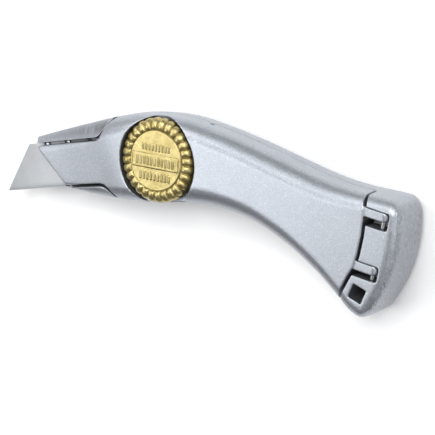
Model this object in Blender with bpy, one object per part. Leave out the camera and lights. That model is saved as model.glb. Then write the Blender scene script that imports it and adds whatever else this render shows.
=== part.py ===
"""Fixed-blade utility knife with a die-cast two-part handle and a brass thumb knob.

All lengths below are millimetres in the knife's own frame: X runs along the cutting edge
towards the butt, Y towards the spine, and Z out of the cover side. Z = 0 is the middle plane of
the blade. The finished object lies on the frame's flat side, so that side faces the ground.
"""

import math

import bmesh
import bpy
import numpy as np
from mathutils import Matrix, Vector

MM = 0.001
GAP = 0.15                     # clearance between neighbouring pieces

# Where the middle of the object's underside sits in the knife's own frame.
CENTRE_X = 7.05
CENTRE_Y = -24.21
HALF_THICK = 11.5              # half the handle's thickness
FRAME_FACE = 0.35              # where the two castings part: the frame's face and the cover's
COVER_FACE = 0.5

# Blade
BLADE_LENGTH = 62.0
BLADE_HEIGHT = 19.0
BLADE_THICK = 0.65
BLADE_SLANT = 15.5             # how far each end leans in over the blade's height
BLADE_BEVEL = 2.2              # width of the ground edge
BLADE_TIP = (-88.9, -8.3)
NOTCH_RADIUS = 1.7
NOTCH_OFFSET = 5.6             # from the middle of the back edge to each notch
NOTCH_DEPTH = 0.9              # centre of each notch's round, below the back edge
LOCATOR_RADIUS = 1.0           # the dowels that the notches sit on
SPARE_COUNT = 5
SPARE_PITCH = 0.86             # one spare blade to the next
SPARE_BASE = -6.6              # middle plane of the lowest spare blade
SPARE_CENTRE = (57.3, -23.9)
SPARE_ANGLE = math.radians(-32)
CLIP_POST = (-29.0, 6.5)       # where the clip's screw stands beside the spare blades
CLIP_POST_TOP = -2.9
CLIP_THICK = 0.45
CLIP_LEVEL = -2.7
CLIP_SCREW_RADIUS = 1.3

# Knob and clamp screw, all about one upright axis
KNOB_X = -1.3
KNOB_Y = -0.6
KNOB_RADIUS = 17.15
KNOB_FACE_RADIUS = 12.2
KNOB_BEADS = 28
BEAD_RISE = 1.1                # how far each bead on the rim stands out
KNOB_BASE = 6.9
KNOB_TOP = 11.6                # about level with the cover's side
HUB_HEIGHT = 2.2               # depth of the hollow round the knob's hub
KNOB_TURN = math.radians(-13.3)   # how the raised bar on the face lies
KNOB_FACE_DROP = 0.42          # the face lies this far below the beads
RECESS_RADIUS = 18.4
RECESS_Y = -1.5                # the recess sits a little below the knob
RECESS_FLOOR = 5.6
WEB_UNDER = 3.2                # underside of the wall below the knob
SCREW_RADIUS = 2.4
SCREW_TIP = -7.2
SCREW_END = 9.7                # its upper end, inside the knob
THREAD_PITCH = 0.8
BOSS_RADIUS = 6.4
BOSS_TOP = -2.6
INSERT_RADIUS = 4.3
INSERT_BORE = 2.62
NECK_RADIUS = 1.8              # groove in the screw for its clip
CLIP_Z = 0.6                   # underside of the clip that keeps the screw in the cover

# Hinge at the butt
HINGE = (96.2, -29.0, 8.8)
HINGE_ANGLE = math.radians(-20.5)  # the direction that the hooks point in
HOOK_SPACING = 20.8
HOOK_WIDTH = 3.5
HOOK_BARREL = 2.4
PIN_RADIUS = 1.0
SLOT_FLOOR = 4.9
SLOT_ROUND = 1.1
# For each hook, its place down the pin and how far its slot runs past it.
HOOKS = (("upper", 0.0, 3.0), ("lower", HOOK_SPACING, 2.2))

# Cover outline
SEAM_TOP = 9.7                 # cover's upper edge beside the jaw
SEAM_GAP = 1.2
WALL = 2.3

BAND_BOW = 0.30                # how far the flat bands on the spine and belly bow out
SPINE_FULLNESS = 1.7           # how square the shoulders are: 2 is a plain ellipse
BELLY_FULLNESS = 1.9
FACET_END = 0.34               # where the sloping facet on the nose runs out, in u
BUTT_ROUND = 3.6               # how far the rear face is rounded over
BUTT_SCALE = 97.0              # length of the handle near the butt for a step of 1 in u

# Small notch in the cover's edge at the spine, for a tool that lifts the cover.
PRY_NOTCH = (21.9, 12.0)
PRY_WIDTH = 1.6
PRY_REACH = 8.0                # through the wall into the hollow
PRY_DEPTH = 1.7                # across the seam, up the cover's edge
PRY_TURN = math.radians(-21)

LANYARD = (81.7, -56.8)
LANYARD_SIDE = 5.7
LANYARD_TURN = math.radians(-33)

# The handle's shape: one row for each station along it. Each gives the spine point, the belly
# point, how far the middle bows to the rear, half the thickness, then for the spine and the belly
# the half-width of the flat band and the depth of the shoulder that runs out to the side.
STATIONS = (
    # spine          belly           bow   half   band  depth  band  depth
    ((-68.4, 13.5), (-54.7, -8.7), 0.0, 4.6, 0.7, 7.0, 2.2, 3.0),
    ((-55.0, 15.2), (-43.8, -11.7), 0.0, 5.9, 1.0, 8.0, 2.8, 4.5),
    ((-40.0, 16.8), (-30.0, -14.7), 0.0, 7.9, 2.0, 8.5, 3.2, 6.0),
    ((-24.0, 18.3), (-17.0, -16.9), 0.0, 10.2, 3.6, 7.5, 3.6, 7.0),
    ((-8.0, 18.5), (-4.0, -18.3), 0.0, 11.4, 4.6, 6.5, 4.0, 7.5),
    ((10.0, 15.4), (9.0, -19.2), 0.0, 11.5, 5.0, 7.0, 4.2, 8.0),
    ((27.0, 8.9), (24.0, -22.4), 0.0, 11.5, 5.2, 7.5, 4.2, 8.0),
    ((43.0, 1.4), (38.6, -28.7), 0.0, 11.5, 5.2, 7.5, 4.2, 8.0),
    ((58.0, -6.4), (52.0, -38.4), 0.4, 11.5, 5.4, 7.5, 4.2, 8.0),
    ((72.0, -13.5), (62.9, -49.0), 1.0, 11.5, 5.8, 7.0, 4.4, 7.5),
    ((84.0, -18.2), (70.2, -57.6), 2.0, 11.5, 6.4, 6.0, 5.0, 6.5),
    ((94.5, -21.2), (75.4, -64.0), 3.6, 11.5, 7.0, 5.0, 6.0, 5.5),
    ((103.2, -24.0), (81.4, -67.8), 5.6, 11.5, 7.6, 4.2, 6.8, 4.6),
)


# ---------------------------------------------------------------- scene helpers

def clear_scene():
    for old in list(bpy.data.objects):
        bpy.data.objects.remove(old, do_unlink=True)


def material(name, colour, metallic, roughness):
    made = bpy.data.materials.new(name)
    made.use_nodes = True
    shader = made.node_tree.nodes["Principled BSDF"]
    shader.inputs["Base Color"].default_value = (*colour, 1.0)
    shader.inputs["Metallic"].default_value = metallic
    shader.inputs["Roughness"].default_value = roughness
    made.diffuse_color = (*colour, 1.0)
    return made


def solid(name, points, faces, surface=None):
    """A mesh object from points in millimetres, with its faces turned outwards."""
    mesh = bpy.data.meshes.new(name)
    shift = Vector((-CENTRE_X, -CENTRE_Y, HALF_THICK))
    mesh.from_pydata([Vector(p) + shift for p in points], [], faces)
    made = bmesh.new()
    made.from_mesh(mesh)
    bmesh.ops.remove_doubles(made, verts=made.verts, dist=1e-4)
    bmesh.ops.recalc_face_normals(made, faces=made.faces)
    made.to_mesh(mesh)
    made.free()
    thing = bpy.data.objects.new(name, mesh)
    bpy.context.scene.collection.objects.link(thing)
    if surface:
        mesh.materials.append(surface)
    return thing


def boolean(target, tools, operation="DIFFERENCE"):
    """Cuts the tools from the target, or joins or keeps their common part, then drops them."""
    for tool in tools:
        step = target.modifiers.new("cut", "BOOLEAN")
        step.solver = "EXACT"
        step.operation = operation
        step.object = tool
        tool.hide_render = True
        tool.display_type = "WIRE"
    bpy.context.view_layer.update()
    graph = bpy.context.evaluated_depsgraph_get()
    shape = bpy.data.meshes.new_from_object(target.evaluated_get(graph))
    shape.name = target.name
    target.modifiers.clear()
    target.data = shape
    for tool in tools:
        bpy.data.objects.remove(tool, do_unlink=True)
    return target


def set_origin(thing, point):
    """Moves the object's origin to a point in millimetres, leaving its shape where it is."""
    place = Vector(point) + Vector((-CENTRE_X, -CENTRE_Y, HALF_THICK))
    thing.data.transform(Matrix.Translation(-place))
    thing.location = place


def to_metres():
    """The pieces are cut in millimetres, so this takes each one to metres at the end."""
    for thing in bpy.data.objects:
        thing.data.transform(Matrix.Scale(MM, 4))
        thing.location = thing.location * MM


# ---------------------------------------------------------------- shape helpers

def bridged(rings):
    """Points and faces of a closed solid from rings that have equal numbers of points."""
    count = len(rings[0])
    points = [point for ring in rings for point in ring]
    faces = []
    for row in range(len(rings) - 1):
        for i in range(count):
            j = (i + 1) % count
            a, b = row * count, (row + 1) * count
            faces.append((a + i, a + j, b + j, b + i))
    faces.append(tuple(range(count))[::-1])
    last = (len(rings) - 1) * count
    faces.append(tuple(range(last, last + count)))
    return points, faces


def prism(name, outline, low, high, surface=None):
    rings = [[(x, y, z) for x, y in outline] for z in (low, high)]
    return solid(name, *bridged(rings), surface)


def turned(name, profile, centre, sides=48, surface=None):
    """A solid of revolution about an upright axis from (radius, z) pairs that close on it."""
    rings = []
    for radius, z in profile:
        angles = [2 * math.pi * k / sides for k in range(sides)]
        rings.append([(centre[0] + radius * math.cos(a), centre[1] + radius * math.sin(a), z)
                      for a in angles])
    return solid(name, *bridged(rings), surface)


def tube(name, profile, centre, sides=48, surface=None):
    """A ring about an upright axis: the profile is a closed loop of (radius, z) pairs."""
    points = []
    faces = []
    count = len(profile)
    for k in range(sides):
        a = 2 * math.pi * k / sides
        for radius, z in profile:
            points.append((centre[0] + radius * math.cos(a), centre[1] + radius * math.sin(a), z))
    for k in range(sides):
        a, b = k * count, ((k + 1) % sides) * count
        for i in range(count):
            j = (i + 1) % count
            faces.append((a + i, b + i, b + j, a + j))
    return solid(name, points, faces, surface)


def disc(centre, radius, low, high, sides=48, name="tool"):
    return turned(name, [(radius, low), (radius, high)], centre, sides)


def slab(low, high, start=-95.0):
    """A level slab that reaches past the handle on every side, or from an x to the rear."""
    return prism("tool", [(start, -90), (120, -90), (120, 60), (start, 60)], low, high)


def rectangle(centre, length, width, angle):
    """Corners of a rectangle whose length lies along the angle."""
    along = (math.cos(angle), math.sin(angle))
    across = (-along[1], along[0])
    return [(centre[0] + s * along[0] * length / 2 + t * across[0] * width / 2,
             centre[1] + s * along[1] * length / 2 + t * across[1] * width / 2)
            for s, t in ((-1, -1), (1, -1), (1, 1), (-1, 1))]


def rounded(outline, radius, steps=3):
    """The outline with each corner rounded as far as its sides allow."""
    made = []
    count = len(outline)
    for i in range(count):
        corner = Vector(outline[i])
        back = Vector(outline[i - 1]) - corner
        ahead = Vector(outline[(i + 1) % count]) - corner
        reach = min(radius, back.length * 0.45, ahead.length * 0.45)
        start = corner + back.normalized() * reach
        end = corner + ahead.normalized() * reach
        for k in range(steps + 1):
            t = k / steps
            point = start * (1 - t) ** 2 + corner * 2 * t * (1 - t) + end * t ** 2
            made.append((point.x, point.y))
    return made


def offset(outline, distance):
    """The outline moved outwards by a distance. It runs anticlockwise."""
    made = []
    count = len(outline)
    for i in range(count):
        here = Vector(outline[i])
        before = (here - Vector(outline[i - 1])).normalized()
        after = (Vector(outline[(i + 1) % count]) - here).normalized()
        first = Vector((before.y, -before.x))
        second = Vector((after.y, -after.x))
        middle = first + second
        middle = middle * (2 / max(middle.length_squared, 0.8))
        made.append((here.x + middle.x * distance, here.y + middle.y * distance))
    return made


def cylinder_between(name, start, end, radius, sides=24, surface=None):
    start, end = Vector(start), Vector(end)
    along = (end - start).normalized()
    side = along.orthogonal().normalized()
    other = along.cross(side)
    rings = []
    for base in (start, end):
        ring = []
        for k in range(sides):
            a = 2 * math.pi * k / sides
            ring.append(base + side * radius * math.cos(a) + other * radius * math.sin(a))
        rings.append(ring)
    return solid(name, *bridged(rings), surface)


def hinge_point(along, across, z):
    """A point from the hinge: along the hooks' direction, and down the pin from the upper hook."""
    c, s = math.cos(HINGE_ANGLE), math.sin(HINGE_ANGLE)
    return (HINGE[0] + along * c + across * s, HINGE[1] + along * s - across * c, z)


def hinge_box(along, across, low, high):
    """A slot set square to the hinge, from the ranges along the hooks and down the pin."""
    outline = [hinge_point(u, v, 0)[:2] for u, v in
               ((along[0], across[1]), (along[1], across[1]),
                (along[1], across[0]), (along[0], across[0]))]
    return prism("tool", rounded(outline, SLOT_ROUND), low, high)


# ---------------------------------------------------------------- handle shape

def station_at(u):
    """The handle's values at u, from 0 at the nose to 1 at the butt, on a smooth curve."""
    rows = np.array([[*top, *bottom, *rest] for top, bottom, *rest in STATIONS])
    rows = np.vstack([2 * rows[0] - rows[1], rows, 2 * rows[-1] - rows[-2]])
    place = min(max(u, 0.0), 1.0) * (len(STATIONS) - 1)
    i = min(int(place), len(STATIONS) - 2)
    f = place - i
    p0, p1, p2, p3 = rows[i:i + 4]
    value = 0.5 * (2 * p1 + (p2 - p0) * f + (2 * p0 - 5 * p1 + 4 * p2 - p3) * f * f
                   + (3 * p1 - p0 - 3 * p2 + p3) * f ** 3)
    value[5] = min(value[5], HALF_THICK)
    return value


def half_section(u, inset, shoulder_steps):
    """(depth from the spine, z) pairs down the near side of one section, spine to belly."""
    tx, ty, bx, by, bow, half, band_t, depth_t, band_b, depth_b = station_at(u)
    height = math.hypot(tx - bx, ty - by)
    half -= inset
    band_t = max(band_t - inset * 0.4, 0.5)
    band_b = max(band_b - inset * 0.4, 0.5)
    rim = inset + BAND_BOW
    pairs = [(inset, 0.0), (inset + BAND_BOW * 0.3, band_t * 0.55)]
    for k in range(shoulder_steps + 1):
        t = k / shoulder_steps * math.pi / 2
        power = 2 / SPINE_FULLNESS
        depth = rim + depth_t * (1 - math.cos(t) ** power)
        pairs.append((depth, band_t + (half - band_t) * math.sin(t) ** power))
    near, far = pairs[-1][0], height - rim - depth_b
    pairs += [(near + (far - near) * k / 4, half) for k in range(1, 4)]
    for k in range(shoulder_steps, -1, -1):
        t = k / shoulder_steps * math.pi / 2
        power = 2 / BELLY_FULLNESS
        depth = height - rim - depth_b * (1 - math.cos(t) ** power)
        pairs.append((depth, band_b + (half - band_b) * math.sin(t) ** power))
    pairs += [(height - inset - BAND_BOW * 0.3, band_b * 0.55), (height - inset, 0.0)]
    return pairs


def section_ring(u, inset, shoulder_steps, squeeze=0.0):
    """One full section as points. Squeeze draws it in, as at a rounded end."""
    tx, ty, bx, by, bow, *rest = station_at(u)
    height = math.hypot(tx - bx, ty - by)
    down = ((bx - tx) / height, (by - ty) / height)
    rear = (-down[1], down[0])
    half = half_section(u, inset, shoulder_steps)
    loop = half + [(d, -z) for d, z in half[-2:0:-1]]
    ring = []
    for depth, z in loop:
        middle = height / 2
        if squeeze:
            depth = middle + (depth - middle) * (1 - squeeze / middle)
            z = z * (1 - squeeze / rest[0])
        s = depth / height
        back = bow * 4 * s * (1 - s)
        ring.append((tx + down[0] * depth + rear[0] * back,
                     ty + down[1] * depth + rear[1] * back, z))
    return ring


def handle_loft(start, end, steps, inset=0.0, shoulder_steps=4, name="tool", round_end=0.0):
    """The handle's full shape, or its inner shape where inset, between two stations."""
    back = round_end / BUTT_SCALE
    rings = [section_ring(start + (end - back - start) * k / steps, inset, shoulder_steps)
             for k in range(steps + 1)]
    arc = 4
    for k in range(1, arc + 1 if round_end else 1):
        t = k / arc * math.pi / 2
        u = end - back + back * math.sin(t)
        rings.append(section_ring(u, inset, shoulder_steps, round_end * (1 - math.cos(t))))
    points, faces = bridged(rings)
    count = len(rings[0])
    # Each end is closed by strips straight across, so that it keeps its curve, spine to belly.
    faces = faces[:-2]
    for i in range(count // 2):
        for base in (0, len(points) - count):
            strip = (i, i + 1, (count - i - 1) % count, (count - i) % count)
            faces.append(tuple(dict.fromkeys(base + corner for corner in strip)))
    return solid(name, points, faces)


def cover_outline():
    """Plan of the cover, anticlockwise. It runs well past the handle at the spine and belly."""
    low = [(-53.4, -7.7), (-33.5, -7.9), (-30.8, -8.6), (-28.8, -10.4), (-26.8, -13.2),
           (-24.0, -30.0)]
    rear = [(66.0, -70.0), (73.3, -56.8), (78.2, -50.4), (81.2, -47.0), (83.6, -42.5),
            (86.4, -35.4), (88.2, -29.4), (88.9, -24.5), (88.9, -21.0), (88.4, -12.0),
            (86.0, 10.0)]
    top = [(-19.0, 30.0), (-20.6, 18.6), (-24.0, 17.0), (-26.4, 15.0), (-28.0, 12.4),
           (-29.6, 10.4), (-32.0, SEAM_TOP), (-66.4, SEAM_TOP)]
    return low + rear + top


def full_body():
    return handle_loft(0.0, 1.0, 36, name="body", round_end=BUTT_ROUND)


# ---------------------------------------------------------------- castings

def make_frame(surface):
    frame = full_body()
    frame.name = "main_frame"
    frame.data.materials.append(surface)
    plan = cover_outline()
    opening = offset(plan, SEAM_GAP)
    tools = [prism("tool", opening, FRAME_FACE, 20.0)]
    # The nose ahead of the cover, down to the blade's seat.
    tools.append(prism("tool", [(-90.0, -7.6), (-50.0, -7.6), (-60.0, SEAM_TOP + SEAM_GAP),
                                (-90.0, SEAM_TOP + SEAM_GAP)], FRAME_FACE, 20.0))
    # Seat for the blade, open at the nose.
    seat_top = BLADE_TIP[1] + BLADE_HEIGHT + GAP
    seat_low = BLADE_TIP[1] - 0.3
    tools.append(prism("tool", [(-95.0, seat_low), (BLADE_TIP[0] + BLADE_LENGTH + 0.4, seat_low),
                                (BLADE_TIP[0] + BLADE_LENGTH - BLADE_SLANT + 1.4, seat_top),
                                (-95.0, seat_top)], -0.475, 0.475))
    boolean(frame, tools)
    boolean(frame, [nose_facet()])
    boolean(frame, [frame_cavity()])
    boolean(frame, butt_cuts() + frame_holes())
    return frame


def nose_facet():
    """Takes the bulge off the nose above the blade, which leaves one sloping facet."""
    rings = []
    for k in range(9):
        u = FACET_END * k / 8
        ring = [Vector(point) for point in section_ring(u, 0.0, 6)][:12]
        top = Vector((ring[0].x, ring[0].y - BAND_BOW - 0.15, station_at(u)[6]))
        level = SEAM_TOP + SEAM_GAP
        below = next(i for i, point in enumerate(ring) if point.y < level)
        first, second = ring[below - 1], ring[below]
        edge = first.lerp(second, (first.y - level) / (first.y - second.y))
        along = (top - edge).normalized()
        high, low = top + along * 4, edge - along * 4
        rings.append([high, low, Vector((low.x, low.y, 40)), Vector((high.x, high.y, 40))])
    return solid("tool", *bridged(rings))


def frame_cavity():
    """The hollow of the frame, less the boss, the posts and the ribs that stand in it."""
    hollow = handle_loft(0.285, 0.925, 26, inset=WALL, shoulder_steps=3)
    boolean(hollow, [slab(-20.0, 0.5)], "INTERSECT")
    butt = handle_loft(0.86, 0.965, 6, inset=WALL + 0.6, shoulder_steps=3)
    boolean(butt, [slab(-20.0, SLOT_FLOOR - 2.0, start=60.0)], "INTERSECT")
    boolean(hollow, [butt], "UNION")
    stays = [disc((KNOB_X, KNOB_Y), BOSS_RADIUS, -20, BOSS_TOP, 32)]
    # Solid metal round the lanyard hole, out to the butt's lower corner.
    lug = [(66.0, -85.0), (75.0, -53.6), (80.2, -50.4), (88.4, -55.0), (92.0, -62.0),
           (100.0, -85.0)]
    stays.append(prism("tool", lug, -20, 20))
    stays.append(disc(spare_point(*CLIP_POST), 3.4, -20, CLIP_POST_TOP, 24))
    # Cross ribs under the spare blades.
    for along in (-24.0, -8.0, 8.0, 24.0):
        stays.append(prism("tool", rectangle(spare_point(along, 0), 1.6, 60, SPARE_ANGLE),
                           -20, SPARE_BASE - BLADE_THICK / 2 - GAP))
    # Rails along the spare blades, and a stop at each end.
    for across in (-11.2, 11.2):
        stays.append(prism("tool", rectangle(spare_point(0, across), 30, 1.6, SPARE_ANGLE),
                           -20, SPARE_BASE + SPARE_PITCH * SPARE_COUNT - 0.6))
    for along in (-32.8, 32.8):
        stays.append(prism("tool", rectangle(spare_point(along, -6.5), 1.6, 5.0, SPARE_ANGLE),
                           -20, SPARE_BASE + SPARE_PITCH * SPARE_COUNT - 0.6))
    boolean(hollow, stays)
    return hollow


def spare_point(along, across):
    c, s = math.cos(SPARE_ANGLE), math.sin(SPARE_ANGLE)
    return (SPARE_CENTRE[0] + along * c - across * s, SPARE_CENTRE[1] + along * s + across * c)


def butt_cuts():
    """The two hook slots and the square lanyard hole."""
    tools = []
    half = HOOK_WIDTH / 2
    for _, place, past in HOOKS:
        tools.append(hinge_box((-12.0, HOOK_BARREL + 0.4),
                               (place - half - 0.2, place + half + past), SLOT_FLOOR, 20))
    tools.append(prism("tool", rectangle(LANYARD, LANYARD_SIDE, LANYARD_SIDE, LANYARD_TURN),
                       -20, 20))
    return tools


def frame_holes():
    """Holes for the insert, the blade's pins, the hinge pins and the clip's screw."""
    tools = [disc((KNOB_X, KNOB_Y), INSERT_RADIUS + GAP, -9.2, 0.0, 32)]
    for x in notch_places():
        tools.append(disc((x, notch_y()), LOCATOR_RADIUS + GAP, -3.4, 0.0, 16))
    for _, place, past in HOOKS:
        start = hinge_point(0, place - 3.4, HINGE[2])
        end = hinge_point(0, place + HOOK_WIDTH / 2 + past + 1.8, HINGE[2])
        tools.append(cylinder_between("tool", start, end, PIN_RADIUS + 0.1, 20))
    tools.append(disc(spare_point(*CLIP_POST), CLIP_SCREW_RADIUS + GAP, -8.0, 0.0, 16))
    return tools


def notch_places():
    middle = BLADE_TIP[0] + BLADE_LENGTH / 2
    return (middle - NOTCH_OFFSET, middle + NOTCH_OFFSET)


def notch_y():
    return BLADE_TIP[1] + BLADE_HEIGHT - NOTCH_DEPTH


def make_cover(surface):
    cover = full_body()
    cover.name = "side_cover"
    cover.data.materials.append(surface)
    keep = prism("tool", cover_outline(), 0.0, 20.0)
    boolean(cover, [keep], "INTERSECT")
    boolean(cover, [slab(-1.0, COVER_FACE)])
    boolean(cover, cover_hollows())
    boolean(cover, hooks(), "UNION")
    boolean(cover, cover_holes())
    return cover


def cover_holes():
    """Bores for the hinge pins and the screw, the knob's recess and the notch at the spine."""
    tools = []
    for _, place, _ in HOOKS:
        start = hinge_point(0, place - 6, HINGE[2])
        end = hinge_point(0, place + 6, HINGE[2])
        tools.append(cylinder_between("tool", start, end, PIN_RADIUS + 0.2, 20))
    tools.append(prism("tool", rectangle(PRY_NOTCH, PRY_WIDTH, PRY_REACH, PRY_TURN), -1,
                       COVER_FACE + PRY_DEPTH))
    tools.append(disc((KNOB_X, RECESS_Y), RECESS_RADIUS, RECESS_FLOOR, 30, 72))
    tools.append(disc((KNOB_X, KNOB_Y), SCREW_RADIUS + 0.5, -1, 30, 24))
    return tools


def cover_hollows():
    """The hollow behind the knob, and the one along the handle."""
    front = handle_loft(0.30, 0.505, 8, inset=WALL, shoulder_steps=3)
    boolean(front, [slab(-1.0, WEB_UNDER)], "INTERSECT")
    rear = handle_loft(0.52, 0.86, 16, inset=WALL, shoulder_steps=3)
    limit = [(19.0, -80.0), (60.0, -80.0), (70.5, -53.5), (77.5, -46.5), (81.0, -39.0),
             (84.6, -30.0), (85.6, -22.0), (85.4, -10.0), (82.0, 30.0), (19.0, 30.0)]
    boolean(rear, [prism("tool", limit, -1.0, 20)], "INTERSECT")
    return [front, rear]


def hooks():
    """Two hooks that reach from the cover's rear edge and curl round the hinge pins."""
    z = HINGE[2]
    side = [(-9.8, z + HOOK_BARREL), (-9.8, z + 0.3), (-HOOK_BARREL, z + 0.3)]
    for k in range(13):
        a = math.pi + 1.5 * math.pi * k / 12
        side.append((HOOK_BARREL * math.cos(a), z + HOOK_BARREL * math.sin(a)))
    made = []
    half = HOOK_WIDTH / 2
    # Across its width, how much the barrel draws in, which rounds its corners in plan.
    slices = ((-half, 0.42), (-half + 0.4, 0.12), (-half + 1.0, 0.0),
              (half - 1.0, 0.0), (half - 0.4, 0.12), (half, 0.42))
    for _, place, _ in HOOKS:
        rings = [[hinge_point(u * (1 - tuck) if u > 0 else u, place + v, level)
                  for u, level in side] for v, tuck in slices]
        made.append(solid("tool", *bridged(rings)))
    return made


# ---------------------------------------------------------------- knob and screw

def bead_point(t, crown):
    """(radius, z) on the beaded rim: t runs from the face's edge out and over to the side."""
    start = Vector((KNOB_FACE_RADIUS + 0.1, -0.8))
    bend = Vector((KNOB_RADIUS - BEAD_RISE - 0.15, -0.85))
    end = Vector((KNOB_RADIUS - BEAD_RISE, -3.0))
    place = start * (1 - t) ** 2 + bend * 2 * t * (1 - t) + end * t * t
    heading = (bend - start) * (1 - t) + (end - bend) * t
    outwards = Vector((-heading.y, heading.x)).normalized()
    place += outwards * BEAD_RISE * crown * math.sqrt(1 - (1 - min(t / 0.3, 1.0)) ** 2)
    return place.x, KNOB_TOP + place.y


def make_knob(surface):
    """Brass knob with a ring of rounded beads that run out over its rim."""
    per_bead = 6
    count = KNOB_BEADS * per_bead
    face = KNOB_TOP - KNOB_FACE_DROP
    rings = [[] for _ in range(12)]
    for k in range(count):
        angle = 2 * math.pi * k / count
        crown = math.sqrt(1 - ((k % per_bead) / per_bead * 2 - 1) ** 2)
        outer = bead_point(1.0, crown)[0]
        levels = [(KNOB_FACE_RADIUS - 0.4, face), (KNOB_FACE_RADIUS + 0.05, face - 0.42)]
        levels += [bead_point(t, crown) for t in (0.05, 0.14, 0.28, 0.46, 0.64, 0.82, 1.0)]
        levels += [(outer, KNOB_BASE + 0.8), (outer - 0.8, KNOB_BASE), (9.0, KNOB_BASE)]
        for ring, (radius, z) in zip(rings, levels):
            ring.append((KNOB_X + radius * math.cos(angle), KNOB_Y + radius * math.sin(angle), z))
    knob = solid("thumb_knob", *bridged(rings), surface)
    # A hollow underside round a hub, with a blind hole for the screw.
    roof = KNOB_BASE + HUB_HEIGHT
    hollow_under = [(8.2, KNOB_BASE - 1), (8.2, roof), (4.2, roof), (4.2, KNOB_BASE - 1)]
    boolean(knob, [tube("tool", hollow_under, (KNOB_X, KNOB_Y), 32)])
    boolean(knob, [disc((KNOB_X, KNOB_Y), SCREW_RADIUS + GAP, 0, SCREW_END + 0.3, 24)])
    # The bar is joined on first, and then the ribs, as some of them stand on it.
    for group in knob_marks():
        marks = []
        for along, across, length, width, rise in group:
            outline = rectangle(turned_point(along, across), length, width, KNOB_TURN)
            marks.append(prism("tool", outline, KNOB_TOP - 1.0, face + rise))
        boolean(knob, marks, "UNION")
    return knob


def knob_marks():
    """The raised bar, then rows of plain ribs: along, across, length, width, rise."""
    ribs = [(-8.5 + 1.7 * k, -0.3, 0.8, 3.2, 0.6) for k in range(11)]
    ribs += [(-6.8 + 1.7 * k, -6.4, 0.85, 3.0, 0.34) for k in range(9)]
    ribs += [(-6.2 + 1.55 * k, 5.3, 0.7, 2.6, 0.3) for k in range(9)]
    return [(0.0, -0.3, 22.0, 5.8, 0.3)], ribs


def turned_point(along, across):
    c, s = math.cos(KNOB_TURN), math.sin(KNOB_TURN)
    return (KNOB_X + along * c - across * s, KNOB_Y + along * s + across * c)


def make_screw(surface):
    """Steel screw: plain shank under the knob, a neck for the clip, then a helical thread."""
    sides = 24
    rings = []
    depth = 0.45
    rows = int((CLIP_Z - 0.5 - SCREW_TIP) / (THREAD_PITCH / 4))
    step = (CLIP_Z - 0.5 - SCREW_TIP) / rows
    for row in range(rows + 1):
        z = SCREW_TIP + row * step
        ring = []
        for k in range(sides):
            a = 2 * math.pi * k / sides
            phase = (z / THREAD_PITCH - k / sides) % 1.0
            radius = SCREW_RADIUS - depth * (1 - abs(2 * phase - 1))
            taper = min(1.0, (z - SCREW_TIP) / 1.6)
            radius -= 0.7 * (1 - taper)
            ring.append((KNOB_X + radius * math.cos(a), KNOB_Y + radius * math.sin(a), z))
        rings.append(ring)
    for radius, z in ((SCREW_RADIUS, CLIP_Z - 0.3), (SCREW_RADIUS, CLIP_Z - 0.2),
                      (NECK_RADIUS, CLIP_Z - 0.1), (NECK_RADIUS, CLIP_Z + 0.9),
                      (SCREW_RADIUS, CLIP_Z + 1.0), (SCREW_RADIUS, SCREW_END)):
        rings.append([(KNOB_X + radius * math.cos(2 * math.pi * k / sides),
                       KNOB_Y + radius * math.sin(2 * math.pi * k / sides), z)
                      for k in range(sides)])
    return solid("clamp_screw", *bridged(rings), surface)


def make_insert(surface):
    """Brass insert with a knurled waist and a flared mouth."""
    profile = [(INSERT_BORE, -9.0), (INSERT_RADIUS, -9.0), (INSERT_RADIUS, -7.4),
               (INSERT_RADIUS - 0.4, -7.2), (INSERT_RADIUS - 0.4, -5.0), (INSERT_RADIUS, -4.8),
               (INSERT_RADIUS, BOSS_TOP + 0.2), (INSERT_BORE + 1.0, BOSS_TOP + 0.2),
               (INSERT_BORE + 0.35, BOSS_TOP - 1.8)]
    return tube("threaded_insert", profile, (KNOB_X, KNOB_Y), 32, surface)


def make_retaining_clip(surface):
    """Open steel clip that sits in the screw's neck below the cover."""
    inner, outer = NECK_RADIUS + GAP, 4.2
    opening = math.radians(70)
    steps = 28
    points, faces = [], []
    for k in range(steps + 1):
        a = opening / 2 + (2 * math.pi - opening) * k / steps
        for radius, z in ((inner, CLIP_Z), (outer, CLIP_Z), (outer, CLIP_Z + 0.7),
                          (inner, CLIP_Z + 0.7)):
            points.append((KNOB_X + radius * math.cos(a), KNOB_Y + radius * math.sin(a), z))
    for k in range(steps):
        for i in range(4):
            j = (i + 1) % 4
            faces.append((4 * k + i, 4 * k + 4 + i, 4 * k + 4 + j, 4 * k + j))
    faces += [(0, 1, 2, 3), (4 * steps + 3, 4 * steps + 2, 4 * steps + 1, 4 * steps)]
    return solid("retaining_clip", points, faces, surface)


def make_spring(surface):
    """Coil spring round the screw, between the insert and the clip."""
    turns, radius, wire = 3.25, 3.95, 0.28
    low, high = BOSS_TOP + 0.2 + 0.1 + wire, CLIP_Z - 0.1 - wire
    steps, sides = int(turns * 18), 7
    rings = []
    for k in range(steps + 1):
        t = k / steps
        a = 2 * math.pi * turns * t
        centre = Vector((KNOB_X + radius * math.cos(a), KNOB_Y + radius * math.sin(a),
                         low + (high - low) * t))
        out = Vector((math.cos(a), math.sin(a), 0))
        rings.append([centre + out * wire * math.cos(2 * math.pi * i / sides)
                      + Vector((0, 0, 1)) * wire * math.sin(2 * math.pi * i / sides)
                      for i in range(sides)])
    return solid("lift_spring", *bridged(rings), surface)


# ---------------------------------------------------------------- blades and small pieces

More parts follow.
